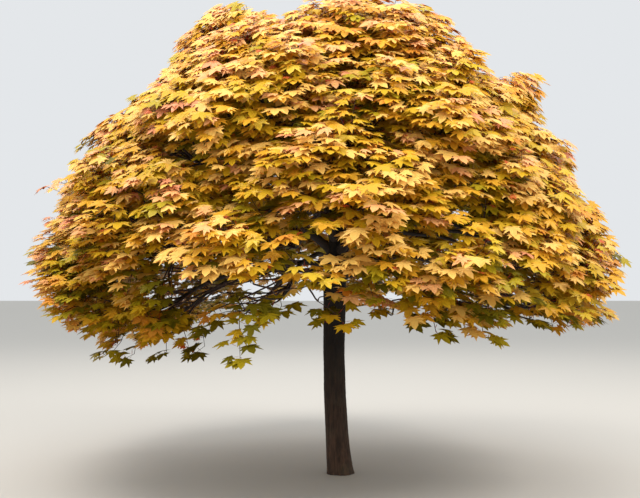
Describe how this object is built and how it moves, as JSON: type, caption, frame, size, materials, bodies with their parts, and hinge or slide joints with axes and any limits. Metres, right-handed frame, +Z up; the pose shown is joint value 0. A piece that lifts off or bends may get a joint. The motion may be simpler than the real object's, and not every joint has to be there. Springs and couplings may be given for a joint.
{
  "type": "maple tree",
  "caption": "Mop-headed maple in yellow leaf: a short bowed trunk, fanned boughs and a broad domed crown whose leaf masses hang round an open space under it.",
  "frame": {"origin": "middle of the trunk's flat foot, at ground level", "axes": "+Z up along the trunk, the crown's side seen in the picture faces -Y, +X to the right as seen there"},
  "size_m": [4.6477, 4.7725, 3.754],
  "materials": {
    "bark": "matte, finely fissured dark brown bark",
    "limb": "matte, nearly black bark",
    "leaf": "satin golden yellow leaves with peach and salmon young ones"
  },
  "bodies": {
    "root": {"trunk": "bark", "bough_skirt_1": "limb", "leaves_skirt_1": "leaf", "bough_skirt_2": "limb", "leaves_skirt_2": "leaf", "bough_skirt_3": "limb", "leaves_skirt_3": "leaf", "bough_skirt_4": "limb", "leaves_skirt_4": "leaf", "bough_skirt_5": "limb", "leaves_skirt_5": "leaf", "bough_skirt_6": "limb", "leaves_skirt_6": "leaf", "bough_skirt_7": "limb", "leaves_skirt_7": "leaf", "bough_skirt_8": "limb", "leaves_skirt_8": "leaf", "bough_skirt_9": "limb", "leaves_skirt_9": "leaf", "bough_flank_1": "limb", "leaves_flank_1": "leaf", "bough_flank_2": "limb", "leaves_flank_2": "leaf", "bough_flank_3": "limb", "leaves_flank_3": "leaf", "bough_flank_4": "limb", "leaves_flank_4": "leaf", "bough_flank_5": "limb", "leaves_flank_5": "leaf", "bough_flank_6": "limb", "leaves_flank_6": "leaf", "bough_flank_7": "limb", "leaves_flank_7": "leaf", "bough_flank_8": "limb", "leaves_flank_8": "leaf", "bough_flank_9": "limb", "leaves_flank_9": "leaf", "bough_shoulder_1": "limb", "leaves_shoulder_1": "leaf", "bough_shoulder_2": "limb", "leaves_shoulder_2": "leaf", "bough_shoulder_3": "limb", "leaves_shoulder_3": "leaf", "bough_shoulder_4": "limb", "leaves_shoulder_4": "leaf", "bough_shoulder_5": "limb", "leaves_shoulder_5": "leaf", "bough_shoulder_6": "limb", "leaves_shoulder_6": "leaf", "bough_cap_1": "limb", "leaves_cap_1": "leaf", "bough_cap_2": "limb", "leaves_cap_2": "leaf", "bough_cap_3": "limb", "leaves_cap_3": "leaf"}
  },
  "joints": []
}
